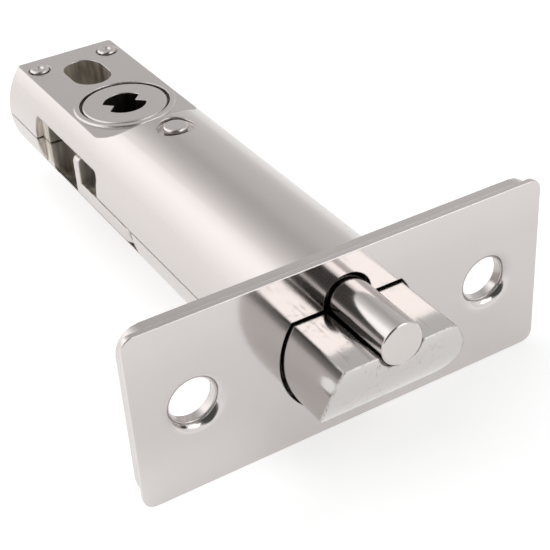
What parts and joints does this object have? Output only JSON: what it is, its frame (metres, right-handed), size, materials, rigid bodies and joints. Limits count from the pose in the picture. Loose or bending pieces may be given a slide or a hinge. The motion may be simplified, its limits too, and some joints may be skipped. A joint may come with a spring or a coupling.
{
  "type": "tubular mortice deadlatch",
  "caption": "Tubular mortice deadlatch: rectangular forend, bevelled D-section bolt with a deadlocking plunger, split cylindrical case and a keyed turning hub.",
  "frame": {"origin": "centre of the overall bounding box in X and Y, at its lowest point in Z, with the latch lying flat and the plunger above the bolt", "axes": "+X out of the forend along the bolt, +Y along the forend, +Z along the spindle on the plunger's side"},
  "size_m": [0.093, 0.057, 0.0245],
  "materials": {
    "polished_plate": "polished nickel plate",
    "nickel_case": "satin bright nickel on die-cast zinc",
    "plain_steel": "plain stamped steel",
    "spring_wire": "plain spring wire"
  },
  "bodies": {
    "case": {"faceplate": "polished_plate", "backplate": "nickel_case", "upper_housing": "nickel_case", "lower_housing": "nickel_case", "spring_bracket": "plain_steel", "top_rivet": "nickel_case", "rear_rivet_left": "nickel_case", "rear_rivet_right": "nickel_case", "lock_lever": "plain_steel", "lever_pin": "plain_steel", "bolt_spring": "spring_wire", "plunger_spring": "spring_wire"},
    "bolt": {"latch_bolt": "polished_plate", "drawbar": "plain_steel", "drawbar_pin": "plain_steel", "retractor_yoke": "nickel_case"},
    "plunger": {"plunger": "polished_plate", "plunger_stem": "plain_steel"},
    "hub": {"hub": "nickel_case", "hub_cam": "plain_steel"}
  },
  "joints": [
    {"name": "bolt_slide", "type": "slide", "parent": "case", "child": "bolt", "axis": [1, 0, 0], "range_m": [-0.0107, 0], "stiffness_N_per_m": 350, "springref_m": 0.008, "deforming": ["bolt_spring"]},
    {"name": "plunger_slide", "type": "slide", "parent": "case", "child": "plunger", "axis": [1, 0, 0], "range_m": [-0.0107, 0], "stiffness_N_per_m": 150, "springref_m": 0.006, "deforming": ["plunger_spring"]},
    {"name": "hub_turn", "type": "hinge", "parent": "case", "child": "hub", "pos_m": [-0.024, 0, 0.01225], "axis": [0, 0, 1], "range_deg": [-71.3, 0]}
  ],
  "couplings": [
    {"joint": "hub_turn", "follows": "bolt_slide", "rad_per_m": 116.25}
  ]
}
